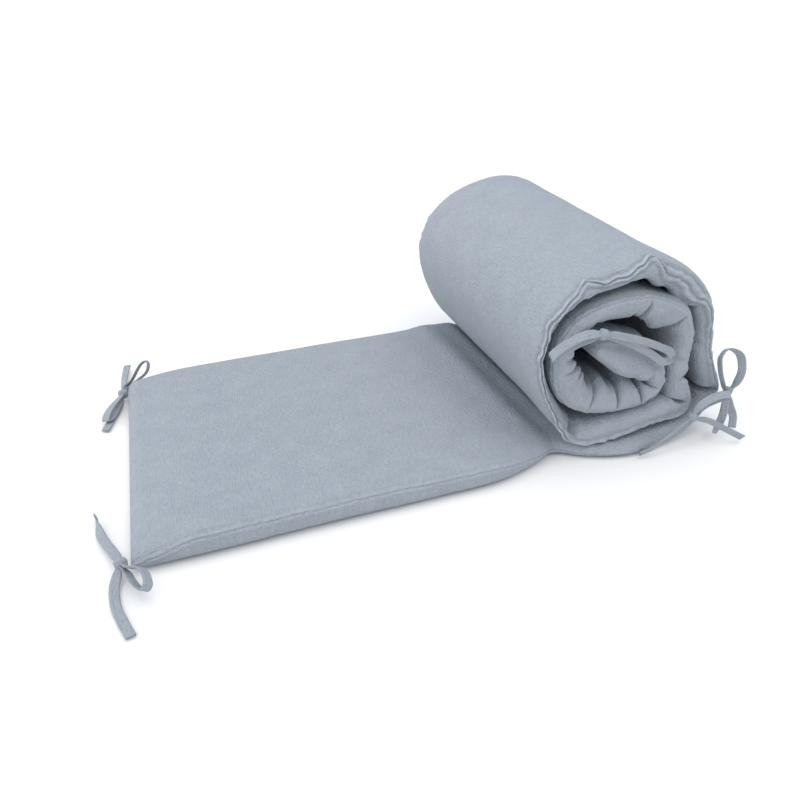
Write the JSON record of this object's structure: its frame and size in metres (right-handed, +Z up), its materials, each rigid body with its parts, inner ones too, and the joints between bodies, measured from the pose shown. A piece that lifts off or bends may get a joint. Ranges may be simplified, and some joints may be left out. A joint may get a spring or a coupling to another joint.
{
  "type": "crib bumper",
  "caption": "Long padded muslin crib bumper, one end lying flat and the rest wound into a loose roll, with narrow cloth ties knotted in bows along both long edges.",
  "frame": {"origin": "middle of the underside of the part's box, on the surface that the pad lies on", "axes": "+Z up; +X along the flat strip from its free end towards the roll; +Y from the near long edge, where the roll's spiral shows, to the far one"},
  "size_m": [0.6424, 0.4298, 0.2072],
  "materials": {
    "muslin": "matt double-gauze cotton"
  },
  "bodies": {
    "root": {"pad": "muslin", "tie_free_near": "muslin", "tie_free_far": "muslin", "tie_corner_near": "muslin", "tie_fold_near": "muslin", "tie_inner_near": "muslin", "tie_corner_far": "muslin", "tie_fold_far": "muslin", "tie_inner_far": "muslin"}
  },
  "joints": []
}
